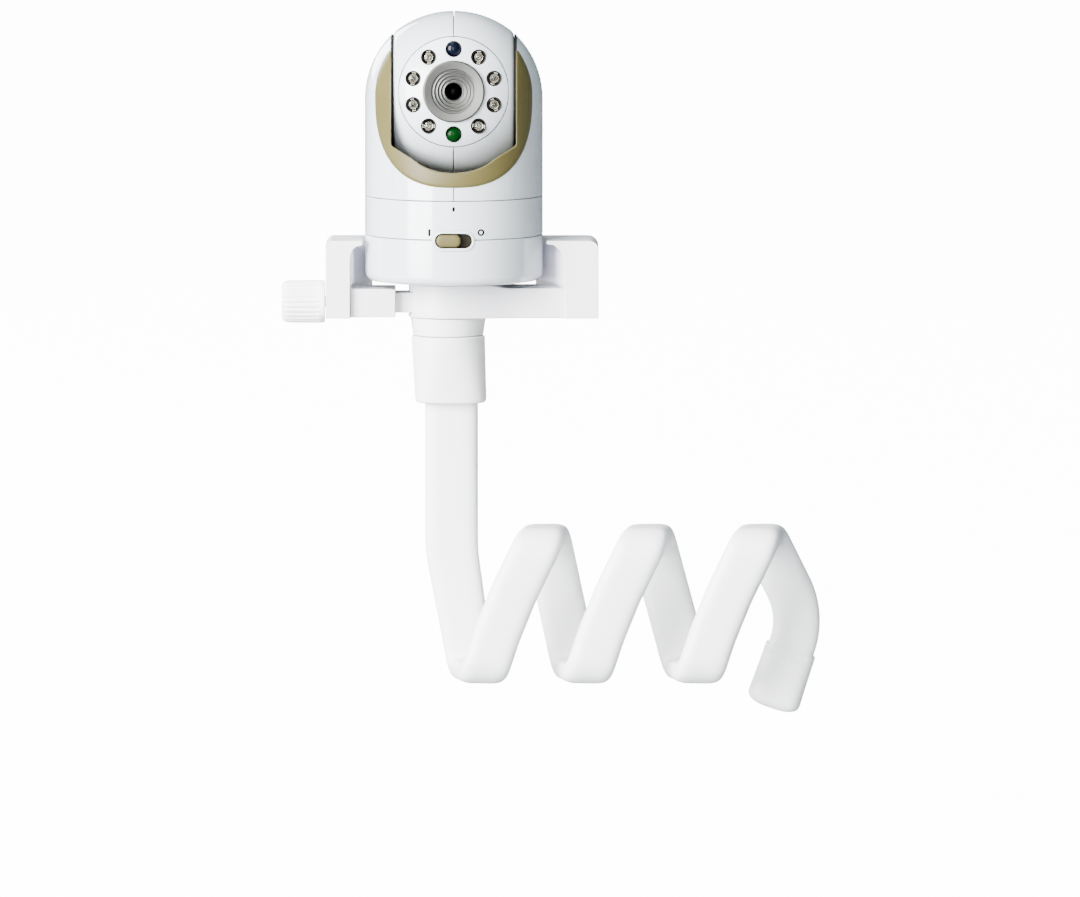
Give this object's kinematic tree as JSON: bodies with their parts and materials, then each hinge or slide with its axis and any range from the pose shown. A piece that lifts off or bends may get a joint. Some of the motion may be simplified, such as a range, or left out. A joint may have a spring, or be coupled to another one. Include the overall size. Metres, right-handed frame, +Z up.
{
  "type": "baby monitor camera",
  "caption": "Pan-and-tilt baby monitor camera held in a screw-adjusted clamp on a flexible flat arm that wraps round a crib rail.",
  "frame": {"origin": "middle of the strap's underside where the arm first passes over the top of the rail", "axes": "+Z up, -Y the way the camera faces, with the lens looking 4.5 degrees above level at rest, +X to the right as seen from the front, along the rail"},
  "size_m": [0.2262, 0.0752, 0.2986],
  "materials": {
    "acetal": "natural acetal",
    "arm_cream": "soft-touch silicone",
    "board_green": "circuit board",
    "clamp_white": "satin white with a slight lavender tint",
    "dark_plastic": "matt black",
    "dark_rubber": "matt",
    "led_clear": "clear dome over a metallic cup",
    "led_green": "green dome",
    "lens_black": "black",
    "lens_glass": "clear, coated",
    "pad_lavender": "matt soft pad",
    "ring_silver": "satin silver",
    "sensor_navy": "dark navy dome",
    "shell_white": "satin-gloss cool white ABS",
    "steel": "brushed",
    "trim_beige": "satin beige"
  },
  "bodies": {
    "arm_wrap": {"arm_cover_wrap": "arm_cream", "arm_core_wrap": "steel", "arm_end_cap": "arm_cream"},
    "arm_top": {"arm_cover_top": "arm_cream", "arm_core_top": "steel", "arm_socket": "arm_cream", "swivel_stud": "steel"},
    "clamp": {"clamp_body": "clamp_white", "jaw_pad_right": "pad_lavender", "seat_pad": "pad_lavender", "clamp_nut": "steel", "swivel_collar": "arm_cream"},
    "jaw": {"clamp_jaw": "clamp_white", "jaw_pad_left": "pad_lavender"},
    "knob": {"clamp_knob": "clamp_white", "clamp_screw": "steel"},
    "camera_base": {"base_cup": "shell_white", "base_collar": "shell_white", "base_foot_ring": "dark_rubber", "base_screw_1": "steel", "base_screw_2": "steel", "main_board": "board_green", "power_jack": "dark_plastic", "switch_body": "shell_white", "speaker": "dark_plastic", "microphone": "steel", "pan_motor": "steel", "pan_bush": "acetal"},
    "power_switch": {"switch_slider": "trim_beige"},
    "pair_button": {"pair_button": "shell_white"},
    "pan_pinion": {"pan_pinion": "acetal"},
    "yoke": {"yoke_left": "shell_white", "yoke_right": "shell_white", "yoke_trim": "trim_beige", "yoke_floor": "shell_white", "pan_gear": "acetal", "pan_retaining_ring": "steel", "tilt_stub_left": "steel", "tilt_stub_right": "steel", "tilt_gear": "acetal"},
    "head": {"head_left": "shell_white", "head_right": "shell_white", "face_plate": "shell_white", "lens_barrel": "lens_black", "lens_glass": "lens_glass", "sensor_board": "board_green", "led_board": "board_green", "ir_led_1": "led_clear", "ir_led_2": "led_clear", "ir_led_3": "led_clear", "ir_led_4": "led_clear", "ir_led_5": "led_clear", "ir_led_6": "led_clear", "ir_led_7": "led_clear", "ir_led_8": "led_clear", "light_sensor": "sensor_navy", "status_led": "led_green", "tilt_motor": "steel"},
    "lens_hood": {"lens_hood": "ring_silver"},
    "tilt_pinion": {"tilt_pinion": "acetal"}
  },
  "joints": [
    {"name": "arm_bend", "type": "hinge", "parent": "arm_wrap", "child": "arm_top", "pos_m": [-0.04215, 0.016, 0.03185], "axis": [1, 0, 0], "range_deg": [-35, 35]},
    {"name": "clamp_swivel", "type": "hinge", "parent": "arm_top", "child": "clamp", "pos_m": [-0.04215, 0.016, 0.09265], "axis": [0, 0, 1], "continuous": true},
    {"name": "jaw_slide", "type": "slide", "parent": "clamp", "child": "jaw", "axis": [-1, 0, 0], "range_m": [0, 0.02]},
    {"name": "knob_turn", "type": "hinge", "parent": "jaw", "child": "knob", "pos_m": [-0.10275, 0.016, 0.10285], "axis": [1, 0, 0], "range_deg": [0, 1801]},
    {"name": "camera_lift", "type": "slide", "parent": "clamp", "child": "camera_base", "axis": [0, 0, 1], "range_m": [0, 0.03]},
    {"name": "power_switch_slide", "type": "slide", "parent": "camera_base", "child": "power_switch", "axis": [1, 0, 0], "range_m": [0, 0.0042]},
    {"name": "pair_button_press", "type": "slide", "parent": "camera_base", "child": "pair_button", "axis": [-0.5299, -0.848, 0], "range_m": [0, 0.0012]},
    {"name": "pan", "type": "hinge", "parent": "camera_base", "child": "yoke", "pos_m": [-0.03975, 0.016, 0.14885], "axis": [0, 0, 1], "range_deg": [-135, 135]},
    {"name": "pan_pinion_spin", "type": "hinge", "parent": "camera_base", "child": "pan_pinion", "pos_m": [-0.06375, 0.016, 0.13585], "axis": [0, 0, 1], "range_deg": [-406, 406]},
    {"name": "tilt", "type": "hinge", "parent": "yoke", "child": "head", "pos_m": [-0.03975, 0.016, 0.19135], "axis": [-1, 0, 0], "range_deg": [-45, 75]},
    {"name": "tilt_pinion_spin", "type": "hinge", "parent": "head", "child": "tilt_pinion", "pos_m": [-0.01865, 0.02618, 0.18117], "axis": [-1, 0, 0], "range_deg": [-91, 151]},
    {"name": "lens_hood_turn", "type": "hinge", "parent": "head", "child": "lens_hood", "pos_m": [-0.03975, -0.01291, 0.19362], "axis": [0, 0.9969, -0.0785], "range_deg": [0, 270]}
  ],
  "couplings": [
    {"joint": "knob_turn", "follows": "jaw_slide", "rad_per_m": 1570.8},
    {"joint": "pan_pinion_spin", "follows": "pan", "ratio": -3},
    {"joint": "tilt_pinion_spin", "follows": "tilt", "ratio": 2}
  ]
}
